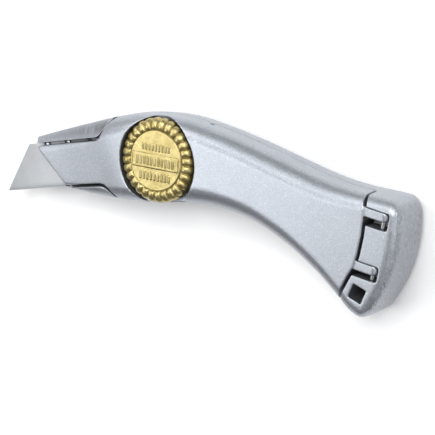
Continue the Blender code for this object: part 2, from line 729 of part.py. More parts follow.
def blade_shape(name, surface, place, z):
    """A trapezoid blade with a ground edge and two notches in its back edge."""
    half = BLADE_THICK / 2
    length, height = BLADE_LENGTH, BLADE_HEIGHT
    rise = BLADE_BEVEL
    lean = BLADE_SLANT * rise / height
    section = [((0.0, 0.0), 0.03), ((lean, rise), half), ((BLADE_SLANT, height), half)]
    rings = []
    for (x, y), thick in section:
        rings.append([place(x, y, z + thick), place(length - x, y, z + thick),
                      place(length - x, y, z - thick), place(x, y, z - thick)])
    blade = solid(name, *bridged(rings), surface)
    tools = []
    for side in (-1, 1):
        x = length / 2 + side * NOTCH_OFFSET
        centre = height - NOTCH_DEPTH
        cut = [(x - NOTCH_RADIUS, height + 2), (x - NOTCH_RADIUS, centre)]
        for k in range(1, 8):
            a = math.pi + math.pi * k / 8
            cut.append((x + NOTCH_RADIUS * math.cos(a), centre + NOTCH_RADIUS * math.sin(a)))
        cut += [(x + NOTCH_RADIUS, centre), (x + NOTCH_RADIUS, height + 2)]
        outline = [place(px, py, 0)[:2] for px, py in cut]
        tools.append(prism("tool", outline, z - 2, z + 2))
    return boolean(blade, tools)


def working_place(x, y, z):
    return (BLADE_TIP[0] + x, BLADE_TIP[1] + y, z)


def spare_place(x, y, z):
    return (*spare_point(x - BLADE_LENGTH / 2, y - BLADE_HEIGHT / 2), z)


def make_blade_clip(surface):
    """Bent leaf that holds the spare blades down."""
    top = SPARE_BASE + SPARE_PITCH * (SPARE_COUNT - 1) + BLADE_THICK / 2
    level = top + 0.35
    line = [(-33.0, CLIP_LEVEL), (-25.0, CLIP_LEVEL), (-22.5, CLIP_LEVEL), (8.0, level),
            (11.0, level + 1.4), (11.9, level + 1.5)]
    rings = []
    for along, z in line:
        wide = 3.0 if along < 0 else 2.4
        low, high = CLIP_POST[1] - wide, CLIP_POST[1] + wide
        rings.append([(*spare_point(along, low), z), (*spare_point(along, high), z),
                      (*spare_point(along, high), z + CLIP_THICK),
                      (*spare_point(along, low), z + CLIP_THICK)])
    clip = solid("blade_clip", *bridged(rings), surface)
    return boolean(clip, [disc(spare_point(*CLIP_POST), CLIP_SCREW_RADIUS + GAP, -6, 3, 20)])


def make_clip_screw(surface):
    head = CLIP_LEVEL + CLIP_THICK + 0.1
    centre = spare_point(*CLIP_POST)
    shank = CLIP_SCREW_RADIUS
    profile = [(shank - 0.3, -7.6), (shank, -7.2), (shank, head), (2 * shank, head),
               (2 * shank, head + 0.9), (2.0, head + 1.4)]
    screw = turned("clip_screw", profile, centre, 24, surface)
    slots = [prism("tool", rectangle(centre, 3.2, 0.7, SPARE_ANGLE + turn), head + 0.6, 5)
             for turn in (0.3, 0.3 + math.pi / 2)]
    return boolean(screw, slots)


def make_pins(surface):
    """Two dowels that the blade's notches sit on, and two hinge pins in the butt."""
    for label, x in zip(("front", "rear"), notch_places()):
        profile = [(LOCATOR_RADIUS - 0.2, -3.2), (LOCATOR_RADIUS, -3.0), (LOCATOR_RADIUS, 0.1),
                   (LOCATOR_RADIUS - 0.2, 0.3)]
        turned("locating_pin_" + label, profile, (x, notch_y()), 20, surface)
    for label, place, past in HOOKS:
        start = hinge_point(0, place - 3.2, HINGE[2])
        end = hinge_point(0, place + HOOK_WIDTH / 2 + past + 1.6, HINGE[2])
        pin = cylinder_between("hinge_pin_" + label, start, end, PIN_RADIUS, 20, surface)
        set_origin(pin, hinge_point(0, place, HINGE[2]))


def main():
    clear_scene()
    paint = material("frame_casting_paint", (0.60, 0.64, 0.69), 0.55, 0.42)
    cover_paint = material("cover_casting_paint", (0.62, 0.66, 0.71), 0.55, 0.40)
    brass = material("knob_brass", (0.80, 0.62, 0.24), 1.0, 0.28)
    insert_brass = material("insert_brass", (0.72, 0.55, 0.22), 1.0, 0.35)
    blade_steel = material("blade_steel", (0.72, 0.74, 0.76), 1.0, 0.25)
    spare_steel = material("spare_blade_steel", (0.66, 0.68, 0.70), 1.0, 0.30)
    screw_steel = material("screw_steel", (0.50, 0.51, 0.53), 1.0, 0.32)
    spring_steel = material("spring_steel", (0.42, 0.43, 0.45), 1.0, 0.30)
    pin_steel = material("pin_steel", (0.62, 0.63, 0.65), 1.0, 0.25)

    make_frame(paint)
    cover = make_cover(cover_paint)
    set_origin(cover, HINGE)
    axis = (KNOB_X, KNOB_Y, KNOB_BASE)
    set_origin(make_knob(brass), axis)
    set_origin(make_screw(screw_steel), axis)
    set_origin(make_retaining_clip(spring_steel), axis)
    washer_steel = material("washer_steel", (0.56, 0.57, 0.58), 1.0, 0.34)
    washer = [(SCREW_RADIUS + 0.2, RECESS_FLOOR + 0.15), (7.6, RECESS_FLOOR + 0.15),
              (7.6, KNOB_BASE - 0.2), (SCREW_RADIUS + 0.2, KNOB_BASE - 0.2)]
    tube("thrust_washer", washer, (KNOB_X, KNOB_Y), 40, washer_steel)
    make_insert(insert_brass)
    make_spring(spring_steel)
    blade_shape("blade", blade_steel, working_place, 0.0)
    for k in range(SPARE_COUNT):
        name = "spare_blade_%d" % (k + 1)
        blade_shape(name, spare_steel, spare_place, SPARE_BASE + SPARE_PITCH * k)
    make_blade_clip(spring_steel)
    make_clip_screw(screw_steel)
    make_pins(pin_steel)
    to_metres()


main()
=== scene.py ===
"""Looks of the fixed-blade utility knife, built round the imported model.

Lengths are millimetres in the knife's own frame until a piece is finished: X runs along the
cutting edge towards the butt, Y towards the spine, Z out of the cover side, and Z = 0 is the
blade's middle plane.
"""

import math

import bmesh
import bpy
import numpy as np
from mathutils import Matrix, Vector
from mathutils.bvhtree import BVHTree


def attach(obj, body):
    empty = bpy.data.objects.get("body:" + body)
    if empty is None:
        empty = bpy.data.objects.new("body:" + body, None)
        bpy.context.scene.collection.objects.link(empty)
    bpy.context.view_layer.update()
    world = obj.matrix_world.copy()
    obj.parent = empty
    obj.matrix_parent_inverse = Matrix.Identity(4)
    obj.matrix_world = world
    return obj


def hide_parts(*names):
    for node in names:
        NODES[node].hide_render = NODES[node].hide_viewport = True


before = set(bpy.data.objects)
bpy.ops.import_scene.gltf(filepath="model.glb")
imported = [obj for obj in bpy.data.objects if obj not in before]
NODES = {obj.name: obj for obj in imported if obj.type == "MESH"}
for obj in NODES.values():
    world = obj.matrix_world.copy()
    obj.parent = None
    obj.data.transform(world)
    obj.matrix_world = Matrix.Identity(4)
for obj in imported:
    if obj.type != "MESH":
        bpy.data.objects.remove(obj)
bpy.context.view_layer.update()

MM = 0.001
SHIFT = Vector((-7.05, 24.21, 11.5))   # from the knife's own frame to the model's
GAP = 0.15                     # clearance between neighbouring pieces
FAR = 20.0                     # well past the handle's sides, where a cutting tool ends
HALF_THICK = 11.5              # half the handle's thickness
FRAME_FACE = 0.35              # where the two castings part: the frame's face and the cover's
COVER_FACE = 0.5
WALL = 2.3
FRAME_HOLLOW = (0.285, 0.925)  # where each hollow starts and ends along the handle, in u
BUTT_HOLLOW = (0.86, 0.965)
COVER_FRONT_HOLLOW = (0.30, 0.505)
COVER_REAR_HOLLOW = (0.52, 0.86)

# Blades
BLADE_TIP = (-88.9, -8.3)      # the point at the front of its edge
BLADE_LENGTH = 62.0
BLADE_HEIGHT = 19.0
BLADE_SLANT = 15.5             # how far each end leans in over the blade's height
BLADE_THICK = 0.65
NOTCH_OFFSET = 5.6             # from the middle of the back edge to each notch
NOTCH_DEPTH = 0.9              # centre of each notch's round, below the back edge
LOCATOR_RADIUS = 1.0           # the dowels that the notches sit on
LOCATOR_BASE = -3.4
SPARE_COUNT = 5
SPARE_PITCH = 0.86             # one spare blade to the next
SPARE_BASE = -6.6              # middle plane of the lowest spare blade
SPARE_CENTRE = (57.3, -23.9)
SPARE_ANGLE = math.radians(-32)
SPARE_RIB = 1.6                # width of the ribs and rails round the spare blades
CLIP_POST = (-29.0, 6.5)       # where the clip's screw stands beside the spare blades
CLIP_POST_RADIUS = 3.4
CLIP_POST_TOP = -2.9
CLIP_SCREW_RADIUS = 1.3
CLIP_SCREW_BASE = -8.0

# Knob and clamp screw, about one upright axis
KNOB = (-1.3, -0.6)
KNOB_RADIUS = 17.15
KNOB_FACE_RADIUS = 12.2
KNOB_BEADS = 28
BEAD_RISE = 1.1                # how far each bead stands out
KNOB_BASE = 6.9                # its underside
KNOB_TOP = 11.6                # about level with the cover's side
KNOB_FACE_DROP = 0.42          # from there down to the face, without its pattern
KNOB_TURN = math.radians(-13.3)
HUB_HEIGHT = 2.2               # depth of the hollow round the knob's hub
RECESS_RADIUS = 18.4
RECESS_Y = -1.5                # the recess sits a little below the knob
RECESS_FLOOR = 5.6
WEB_UNDER = 3.2                # underside of the wall below the knob
SCREW_RADIUS = 2.4
SCREW_END = 9.7                # its upper end, inside the knob
BOSS_RADIUS = 6.4
BOSS_TOP = -2.6
INSERT_RADIUS = 4.3
INSERT_BASE = -9.2

# Hinge at the butt
HINGE = (96.2, -29.0, 8.8)
HINGE_ANGLE = math.radians(-20.5)   # the direction that the hooks point in
HOOK_SPACING = 20.8
HOOK_WIDTH = 3.5
HOOK_BARREL = 2.4
PIN_RADIUS = 1.0
PIN_BEFORE = 3.4               # the pin's hole runs this far before the hook's middle
PIN_PAST = 1.8                 # and this far past its slot
SLOT_FLOOR = 4.9
SLOT_START = -12.0             # from the pin, back under the cover
SLOT_ROUND = 1.1
HOOKS = ((0.0, 3.0), (HOOK_SPACING, 2.2))   # place down the pin, and how far the slot runs past

# Outside of the handle
SEAM_TOP = 9.7                 # the cover's upper edge beside the jaw
SEAM_GAP = 1.2
BAND_BOW = 0.30                # how far the flat bands on the spine and belly bow out
BAND_SHRINK = 0.4              # how much a band narrows in a hollow, for each mm of inset
BAND_LEAST = 0.5               # the least half-width of a band
SPINE_FULLNESS = 1.7           # how square the shoulders are: 2 is a plain ellipse
BELLY_FULLNESS = 1.9
FACET_END = 0.34               # where the sloping facet on the nose runs out, in u
BUTT_ROUND = 3.6               # how far the rear face is rounded over
BUTT_SCALE = 97.0              # length of the handle near the butt for a step of 1 in u
PRY_NOTCH = (21.9, 12.0)       # small notch in the cover's edge at the spine
PRY_WIDTH = 1.6
PRY_REACH = 8.0                # through the wall into the hollow
PRY_DEPTH = 1.7                # across the seam, up the cover's edge
PRY_TURN = math.radians(-21)
LANYARD = (81.7, -56.8)
LANYARD_SIDE = 5.7
LANYARD_TURN = math.radians(-33)

# How finely things are made
FINE_SHOULDER = 12             # steps round a shoulder on the outside, and in the hollows
PLAIN_SHOULDER = 3
FINE_FLATS = 6                 # and steps down the flat side
PLAIN_FLATS = 4
FACET_POINTS = FINE_SHOULDER + FINE_FLATS + 2   # a section's points, spine to end of flat side
VOXEL = 0.3   # castings are remeshed at this, which rounds their edges
EASE_TIMES = 7                 # rounds of smoothing on a casting
CASTING_TRIANGLES = 150000
SKIN = 0.5                     # points this near the outer shape are on the enamelled outside
SMOOTH_ANGLE = math.radians(32)   # shallower edges are shaded smooth
EASE_ANGLE = math.radians(40)  # sharper edges are chamfered

# The handle's shape: one row for each station along it. Each gives the spine point, the belly
# point, how far the middle bows to the rear, half the thickness, then for the spine and the belly
# the half-width of the flat band and the depth of the shoulder that runs out to the side.
STATIONS = (
    # spine          belly           bow   half   band  depth  band  depth
    ((-68.4, 13.5), (-54.7, -8.7), 0.0, 4.6, 0.7, 7.0, 2.2, 3.0),
    ((-55.0, 15.2), (-43.8, -11.7), 0.0, 5.9, 1.0, 8.0, 2.8, 4.5),
    ((-40.0, 16.8), (-30.0, -14.7), 0.0, 7.9, 2.0, 8.5, 3.2, 6.0),
    ((-24.0, 18.3), (-17.0, -16.9), 0.0, 10.2, 3.6, 7.5, 3.6, 7.0),
    ((-8.0, 18.5), (-4.0, -18.3), 0.0, 11.4, 4.6, 6.5, 4.0, 7.5),
    ((10.0, 15.4), (9.0, -19.2), 0.0, 11.5, 5.0, 7.0, 4.2, 8.0),
    ((27.0, 8.9), (24.0, -22.4), 0.0, 11.5, 5.2, 7.5, 4.2, 8.0),
    ((43.0, 1.4), (38.6, -28.7), 0.0, 11.5, 5.2, 7.5, 4.2, 8.0),
    ((58.0, -6.4), (52.0, -38.4), 0.4, 11.5, 5.4, 7.5, 4.2, 8.0),
    ((72.0, -13.5), (62.9, -49.0), 1.0, 11.5, 5.8, 7.0, 4.4, 7.5),
    ((84.0, -18.2), (70.2, -57.6), 2.0, 11.5, 6.4, 6.0, 5.0, 6.5),
    ((94.5, -21.2), (75.4, -64.0), 3.6, 11.5, 7.0, 5.0, 6.0, 5.5),
    ((103.2, -24.0), (81.4, -67.8), 5.6, 11.5, 7.6, 4.2, 6.8, 4.6),
)


# ---------------------------------------------------------------- mesh helpers

def solid(name, points, faces):
    """A closed mesh object in millimetres, in the knife's own frame."""
    mesh = bpy.data.meshes.new(name)
    mesh.from_pydata([tuple(p) for p in points], [], faces)
    made = bmesh.new()
    made.from_mesh(mesh)
    bmesh.ops.remove_doubles(made, verts=made.verts, dist=1e-4)
    bmesh.ops.recalc_face_normals(made, faces=made.faces)
    made.to_mesh(mesh)
    made.free()
    thing = bpy.data.objects.new(name, mesh)
    bpy.context.scene.collection.objects.link(thing)
    return thing


def apply_modifiers(thing):
    """Makes the thing's modifiers part of its mesh."""
    bpy.context.view_layer.update()
    graph = bpy.context.evaluated_depsgraph_get()
    shape = bpy.data.meshes.new_from_object(thing.evaluated_get(graph))
    thing.modifiers.clear()
    thing.data = shape


def boolean(target, tools, operation="DIFFERENCE"):
    """Cuts, adds or intersects the target with each tool in turn. The tools are used up."""
    for tool in tools:
        step = target.modifiers.new("cut", "BOOLEAN")
        step.solver = "EXACT"
        step.operation = operation
        step.object = tool
    apply_modifiers(target)
    for tool in tools:
        bpy.data.objects.remove(tool, do_unlink=True)


def bridged(rings):
    """Points and faces of a closed solid from rings that have equal numbers of points."""
    count = len(rings[0])
    points = [point for ring in rings for point in ring]
    faces = []
    for row in range(len(rings) - 1):
        for i in range(count):
            j = (i + 1) % count
            a, b = row * count, (row + 1) * count
            faces.append((a + i, a + j, b + j, b + i))
    faces.append(tuple(range(count))[::-1])
    last = (len(rings) - 1) * count
    faces.append(tuple(range(last, last + count)))
    return points, faces


def prism(outline, low, high):
    """A solid of one outline, from one height to another."""
    rings = [[(x, y, z) for x, y in outline] for z in (low, high)]
    return solid("tool", *bridged(rings))


def slab(low, high, start=-60.0):
    """A box between two heights that covers the handle from a place along it to the butt."""
    return prism([(start, -90.0), (120.0, -90.0), (120.0, 60.0), (start, 60.0)], low, high)


def disc(centre, radius, low, high, sides):
    """An upright cylinder, from one height to another."""
    angles = [2 * math.pi * k / sides for k in range(sides)]
    outline = [(centre[0] + radius * math.cos(a), centre[1] + radius * math.sin(a))
               for a in angles]
    return prism(outline, low, high)


def rectangle(centre, length, width, angle):
    """The corners of a turned rectangle, anticlockwise."""
    along = (math.cos(angle), math.sin(angle))
    across = (-along[1], along[0])
    return [(centre[0] + s * along[0] * length / 2 + t * across[0] * width / 2,
             centre[1] + s * along[1] * length / 2 + t * across[1] * width / 2)
            for s, t in ((-1, -1), (1, -1), (1, 1), (-1, 1))]


def offset(outline, distance):
    """The outline, which runs anticlockwise, moved outwards by a distance."""
    least = 0.8                    # keeps a sharp corner from running far out
    made = []
    count = len(outline)
    for i in range(count):
        here = Vector(outline[i])
        before = (here - Vector(outline[i - 1])).normalized()
        after = (Vector(outline[(i + 1) % count]) - here).normalized()
        middle = Vector((before.y, -before.x)) + Vector((after.y, -after.x))
        middle = middle * (2 / max(middle.length_squared, least))
        made.append((here.x + middle.x * distance, here.y + middle.y * distance))
    return made


def cylinder_between(start, end, radius):
    """A cylinder from one point to another."""
    sides = 24
    start, end = Vector(start), Vector(end)
    along = (end - start).normalized()
    side = along.orthogonal().normalized()
    other = along.cross(side)
    rings = []
    for base in (start, end):
        ring = []
        for k in range(sides):
            a = 2 * math.pi * k / sides
            ring.append(base + side * radius * math.cos(a) + other * radius * math.sin(a))
        rings.append(ring)
    return solid("tool", *bridged(rings))


def hinge_point(along, across, z):
    """A point from its places along the hooks and down the pin, both from the upper hook."""
    c, s = math.cos(HINGE_ANGLE), math.sin(HINGE_ANGLE)
    return (HINGE[0] + along * c + across * s, HINGE[1] + along * s - across * c, z)


def rounded(outline, radius):
    """The outline with each corner rounded as far as its sides allow."""
    steps = 6
    share = 0.45                   # the most of a side that one corner takes
    made = []
    count = len(outline)
    for i in range(count):
        corner = Vector(outline[i])
        back = Vector(outline[i - 1]) - corner
        ahead = Vector(outline[(i + 1) % count]) - corner
        reach = min(radius, share * back.length, share * ahead.length)
        start = corner + back.normalized() * reach
        end = corner + ahead.normalized() * reach
        for k in range(steps + 1):
            t = k / steps
            point = start * (1 - t) ** 2 + corner * 2 * t * (1 - t) + end * t ** 2
            made.append((point.x, point.y))
    return made


def hinge_box(along, across, low, high):
    """A round-cornered box beside the pin, from its limits along the hooks and down the pin."""
    outline = [hinge_point(u, v, 0.0)[:2] for u, v in
               ((along[0], across[1]), (along[1], across[1]),
                (along[1], across[0]), (along[0], across[0]))]
    return prism(rounded(outline, SLOT_ROUND), low, high)


def spare_point(along, across):
    """A point from its places along and across the spare blades, from their middle."""
    c, s = math.cos(SPARE_ANGLE), math.sin(SPARE_ANGLE)
    return (SPARE_CENTRE[0] + along * c - across * s, SPARE_CENTRE[1] + along * s + across * c)


def notch_places():
    """Where the blade's two notches are along it."""
    middle = BLADE_TIP[0] + BLADE_LENGTH / 2
    return (middle - NOTCH_OFFSET, middle + NOTCH_OFFSET)


# ---------------------------------------------------------------- handle shape

ROWS = np.array([[*top, *bottom, *rest] for top, bottom, *rest in STATIONS])
ROWS = np.vstack([2 * ROWS[0] - ROWS[1], ROWS, 2 * ROWS[-1] - ROWS[-2]])
HALF, SPINE_BAND = 5, 6        # where a row has half the thickness, and the spine's band


def station_at(u):
    """The handle's values at u, from 0 at the nose to 1 at the butt, on a smooth curve."""
    place = min(max(u, 0.0), 1.0) * (len(STATIONS) - 1)
    i = min(int(place), len(STATIONS) - 2)
    f = place - i
    p0, p1, p2, p3 = ROWS[i:i + 4]
    value = 0.5 * (2 * p1 + (p2 - p0) * f + (2 * p0 - 5 * p1 + 4 * p2 - p3) * f * f
                   + (3 * p1 - p0 - 3 * p2 + p3) * f ** 3)
    value[HALF] = min(value[HALF], HALF_THICK)
    return value


def shoulder(turn, fullness):
    """How far down from the band and how far out from it a shoulder is at a turn, from 0 to 1."""
    power = 2 / fullness
    return 1 - math.cos(turn) ** power, math.sin(turn) ** power


def half_section(u, inset, shoulder_steps):
    """(depth from the spine, z) pairs down one side of a section, spine to belly.

    Top values are the spine's and bottom values the belly's."""
    tx, ty, bx, by, _, half, band_t, depth_t, band_b, depth_b = station_at(u)
    height = math.hypot(tx - bx, ty - by)
    half -= inset
    band_t = max(band_t - inset * BAND_SHRINK, BAND_LEAST)
    band_b = max(band_b - inset * BAND_SHRINK, BAND_LEAST)
    rim = inset + BAND_BOW
    turns = [k / shoulder_steps * math.pi / 2 for k in range(shoulder_steps + 1)]
    # Each band bows out through three points: its middle, one part of the way out, and its edge.
    bow_down, bow_out = BAND_BOW * 0.3, 0.55
    pairs = [(inset, 0.0), (inset + bow_down, band_t * bow_out)]
    for turn in turns:
        down, out = shoulder(turn, SPINE_FULLNESS)
        pairs.append((rim + depth_t * down, band_t + (half - band_t) * out))
    near, far = pairs[-1][0], height - rim - depth_b
    flats = FINE_FLATS if shoulder_steps == FINE_SHOULDER else PLAIN_FLATS
    pairs += [(near + (far - near) * k / flats, half) for k in range(1, flats)]
    for turn in reversed(turns):
        down, out = shoulder(turn, BELLY_FULLNESS)
        pairs.append((height - rim - depth_b * down, band_b + (half - band_b) * out))
    pairs += [(height - inset - bow_down, band_b * bow_out), (height - inset, 0.0)]
    return pairs


def section_ring(u, inset, shoulder_steps, squeeze=0.0):
    """A whole section at u as a ring of points, from the spine down the near side and back.

    Squeeze draws it in towards its middle by a length."""
    tx, ty, bx, by, bow, thick, *_ = station_at(u)
    height = math.hypot(tx - bx, ty - by)
    down = ((bx - tx) / height, (by - ty) / height)
    rear = (-down[1], down[0])
    near = half_section(u, inset, shoulder_steps)
    loop = near + [(depth, -z) for depth, z in near[-2:0:-1]]
    middle = height / 2
    ring = []
    for depth, z in loop:
        depth = middle + (depth - middle) * (1 - squeeze / middle)
        z = z * (1 - squeeze / thick)
        s = depth / height
        back = bow * 4 * s * (1 - s)
        ring.append((tx + down[0] * depth + rear[0] * back,
                     ty + down[1] * depth + rear[1] * back, z))
    return ring


def handle_loft(start, end, steps, inset=0.0, shoulder_steps=PLAIN_SHOULDER, round_end=0.0):
    """The handle as a solid between two places along it, drawn in all round by the inset."""
    back = round_end / BUTT_SCALE
    rings = [section_ring(start + (end - back - start) * k / steps, inset, shoulder_steps)
             for k in range(steps + 1)]
    if round_end:
        arc = 6
        for k in range(1, arc + 1):
            t = k / arc * math.pi / 2
            u = end - back + back * math.sin(t)
            rings.append(section_ring(u, inset, shoulder_steps, round_end * (1 - math.cos(t))))
    points, faces = bridged(rings)
    count = len(rings[0])
    half, last = count // 2, (len(rings) - 1) * count
    # Strips straight across close each end, so that it keeps its curve from spine to belly.
    faces = faces[:-2]
    for i in range(half):
        j, k = (count - i) % count, (count - i - 1) % count
        for base in (0, last):
            strip = [base + i, base + i + 1, base + k, base + j]
            faces.append(tuple(dict.fromkeys(strip)))
    return solid("tool", points, faces)


def cover_outline():
    """The cover in plan, anticlockwise, run well past the handle on the spine and belly sides."""
    low = [(-53.4, -7.7), (-33.5, -7.9), (-30.8, -8.6), (-28.8, -10.4), (-26.8, -13.2),
           (-24.0, -30.0)]
    rear = [(66.0, -70.0), (73.3, -56.8), (78.2, -50.4), (81.2, -47.0), (83.6, -42.5),
            (86.4, -35.4), (88.2, -29.4), (88.9, -24.5), (88.9, -21.0), (88.4, -12.0),
            (86.0, 10.0)]
    top = [(-19.0, 30.0), (-20.6, 18.6), (-24.0, 17.0), (-26.4, 15.0), (-28.0, 12.4),
           (-29.6, 10.4), (-32.0, SEAM_TOP), (-66.4, SEAM_TOP)]
    return low + rear + top


def full_body():
    """The whole handle's outside, before it is cut into frame and cover."""
    return handle_loft(0.0, 1.0, 110, shoulder_steps=FINE_SHOULDER, round_end=BUTT_ROUND)


# ---------------------------------------------------------------- castings

def frame_shape():
    shape = full_body()
    jaw_top = SEAM_TOP + 0.9
    seat_top = BLADE_TIP[1] + BLADE_HEIGHT + GAP
    seat_low = BLADE_TIP[1] - 0.3
    seat_half = BLADE_THICK / 2 + GAP
    blade_rear = BLADE_TIP[0] + BLADE_LENGTH
    cover_room = prism(offset(cover_outline(), SEAM_GAP), FRAME_FACE, FAR)
    jaw_room = prism([(-90.0, -7.6), (-50.0, -7.6), (-60.0, jaw_top), (-90.0, jaw_top)],
                     FRAME_FACE, FAR)
    seat = prism([(-95.0, seat_low), (blade_rear + 0.4, seat_low),
                  (blade_rear - BLADE_SLANT + 1.4, seat_top), (-95.0, seat_top)],
                 -seat_half, seat_half)
    boolean(shape, [cover_room, jaw_room, seat])
    boolean(shape, [nose_facet()])
    boolean(shape, [frame_cavity()])
    boolean(shape, butt_cuts() + frame_holes())
    return shape


def nose_facet():
    """Takes the bulge off the nose above the blade, which leaves one sloping facet."""
    rings = []
    steps = 24
    over = 4.0                     # how far the cut runs on past both edges of the facet
    for k in range(steps + 1):
        u = FACET_END * k / steps
        ring = [Vector(p) for p in section_ring(u, 0.0, FINE_SHOULDER)][:FACET_POINTS]
        top = Vector((ring[0].x, ring[0].y - BAND_BOW - 0.15, station_at(u)[SPINE_BAND]))
        level = SEAM_TOP + SEAM_GAP
        below = next(i for i, point in enumerate(ring) if point.y < level)
        first, second = ring[below - 1], ring[below]
        edge = first.lerp(second, (first.y - level) / (first.y - second.y))
        along = (top - edge).normalized()
        high, low = top + along * over, edge - along * over
        rings.append([high, low, Vector((low.x, low.y, 2 * FAR)),
                      Vector((high.x, high.y, 2 * FAR))])
    return solid("tool", *bridged(rings))


def frame_cavity():
    """The hollow in the frame, round the boss, the lanyard's lug and the spare blades' store."""
    hollow = handle_loft(*FRAME_HOLLOW, 26, inset=WALL)
    boolean(hollow, [slab(-FAR, 0.5)], "INTERSECT")
    butt = handle_loft(*BUTT_HOLLOW, 6, inset=WALL + 0.6)
    boolean(butt, [slab(-FAR, SLOT_FLOOR - 2.0, 60.0)], "INTERSECT")
    boolean(hollow, [butt], "UNION")
    lug = [(66.0, -85.0), (75.0, -53.6), (80.2, -50.4), (88.4, -55.0), (92.0, -62.0),
           (100.0, -85.0)]
    stays = [disc(KNOB, BOSS_RADIUS, -FAR, BOSS_TOP, 32), prism(lug, -FAR, FAR),
             disc(spare_point(*CLIP_POST), CLIP_POST_RADIUS, -FAR, CLIP_POST_TOP, 24)]
    rib_top = SPARE_BASE - BLADE_THICK / 2 - GAP
    rail_top = SPARE_BASE + SPARE_PITCH * SPARE_COUNT - 0.6
    for along in (-24.0, -8.0, 8.0, 24.0):
        rib = rectangle(spare_point(along, 0.0), SPARE_RIB, 60.0, SPARE_ANGLE)
        stays.append(prism(rib, -FAR, rib_top))
    for across in (-11.2, 11.2):
        rail = rectangle(spare_point(0.0, across), 30.0, SPARE_RIB, SPARE_ANGLE)
        stays.append(prism(rail, -FAR, rail_top))
    for along in (-32.8, 32.8):
        stop = rectangle(spare_point(along, -6.5), SPARE_RIB, 5.0, SPARE_ANGLE)
        stays.append(prism(stop, -FAR, rail_top))
    boolean(hollow, stays)
    return hollow


def butt_cuts():
    """The slots for the hooks, and the square lanyard hole."""
    tools = []
    half = HOOK_WIDTH / 2
    for place, past in HOOKS:
        tools.append(hinge_box((SLOT_START, HOOK_BARREL + 0.4),
                               (place - half - 0.2, place + half + past), SLOT_FLOOR, FAR))
    tools.append(prism(rectangle(LANYARD, LANYARD_SIDE, LANYARD_SIDE, LANYARD_TURN), -FAR, FAR))
    return tools


def frame_holes():
    """The holes for the insert, the dowels, the hinge pins and the clip's screw."""
    tools = [disc(KNOB, INSERT_RADIUS + GAP, INSERT_BASE, 0.0, 48)]
    for x in notch_places():
        centre = (x, BLADE_TIP[1] + BLADE_HEIGHT - NOTCH_DEPTH)
        tools.append(disc(centre, LOCATOR_RADIUS + GAP, LOCATOR_BASE, 0.0, 24))
    for place, past in HOOKS:
        start = hinge_point(0.0, place - PIN_BEFORE, HINGE[2])
        end = hinge_point(0.0, place + HOOK_WIDTH / 2 + past + PIN_PAST, HINGE[2])
        tools.append(cylinder_between(start, end, PIN_RADIUS + 0.1))
    tools.append(disc(spare_point(*CLIP_POST), CLIP_SCREW_RADIUS + GAP, CLIP_SCREW_BASE, 0.0,
                      24))
    return tools


def cover_shape():
    shape = full_body()
    boolean(shape, [prism(cover_outline(), COVER_FACE, FAR)], "INTERSECT")
    front = handle_loft(*COVER_FRONT_HOLLOW, 8, inset=WALL)
    boolean(front, [slab(-1.0, WEB_UNDER)], "INTERSECT")
    rear = handle_loft(*COVER_REAR_HOLLOW, 16, inset=WALL)
    limit = [(19.0, -80.0), (60.0, -80.0), (70.5, -53.5), (77.5, -46.5), (81.0, -39.0),
             (84.6, -30.0), (85.6, -22.0), (85.4, -10.0), (82.0, 30.0), (19.0, 30.0)]
    boolean(rear, [prism(limit, -1.0, FAR)], "INTERSECT")
    boolean(shape, [front, rear])
    boolean(shape, hooks(), "UNION")
    boolean(shape, cover_holes())
    return shape


def cover_holes():
    """The hinge bores, the notch at the spine, the knob's recess and the screw's hole."""
    tools = []
    for place, _ in HOOKS:
        start = hinge_point(0.0, place - 6.0, HINGE[2])
        end = hinge_point(0.0, place + 6.0, HINGE[2])
        tools.append(cylinder_between(start, end, PIN_RADIUS + 0.2))
    notch = rectangle(PRY_NOTCH, PRY_WIDTH, PRY_REACH, PRY_TURN)
    tools.append(prism(notch, -1.0, COVER_FACE + PRY_DEPTH))
    tools.append(disc((KNOB[0], RECESS_Y), RECESS_RADIUS, RECESS_FLOOR, FAR, 144))
    tools.append(disc(KNOB, SCREW_RADIUS + 0.5, -1.0, FAR, 32))
    return tools


def hooks():
    """The two hooks, each one profile run down the pin, with its nose rounded off at both ends."""
    z = HINGE[2]
    root = -9.8                    # where a hook starts, inside the cover
    side = [(root, z + HOOK_BARREL), (root, z + 0.3), (-HOOK_BARREL, z + 0.3)]
    steps = 24
    for k in range(steps + 1):
        a = math.pi + 1.5 * math.pi * k / steps
        side.append((HOOK_BARREL * math.cos(a), z + HOOK_BARREL * math.sin(a)))
    made = []
    half = HOOK_WIDTH / 2
    for place, _ in HOOKS:
        rings = []
        for v, tuck in ((-half, 0.42), (-half + 0.3, 0.16), (-half + 0.9, 0.0),
                        (half - 0.9, 0.0), (half - 0.3, 0.16), (half, 0.42)):
            rings.append([hinge_point(u * (1 - tuck) if u > 0 else u, place + v, level)
                          for u, level in side])
        made.append(solid("tool", *bridged(rings)))
    return made


def cast(shape, name):
    """Remeshes a cut solid finely and eases its edges, as a casting's are."""
    exact = bpy.data.objects.new("exact", shape.data.copy())
    bpy.context.scene.collection.objects.link(exact)
    step = shape.modifiers.new("cells", "REMESH")
    step.mode = "VOXEL"
    step.voxel_size = VOXEL
    step = shape.modifiers.new("settle", "SHRINKWRAP")
    step.wrap_method = "NEAREST_SURFACEPOINT"
    step.target = exact
    step = shape.modifiers.new("ease", "SMOOTH")
    step.factor = 0.5
    step.iterations = EASE_TIMES
    apply_modifiers(shape)
    bpy.data.objects.remove(exact, do_unlink=True)
    step = shape.modifiers.new("thin", "DECIMATE")
    step.ratio = min(1.0, CASTING_TRIANGLES / (2.0 * len(shape.data.polygons)))
    apply_modifiers(shape)
    mark_surface(shape)
    return finished(shape, name)


def fade(value, start, length):
    """From 0 at the start to 1 a length further on."""
    return np.clip((value - start) / length, 0.0, 1.0)


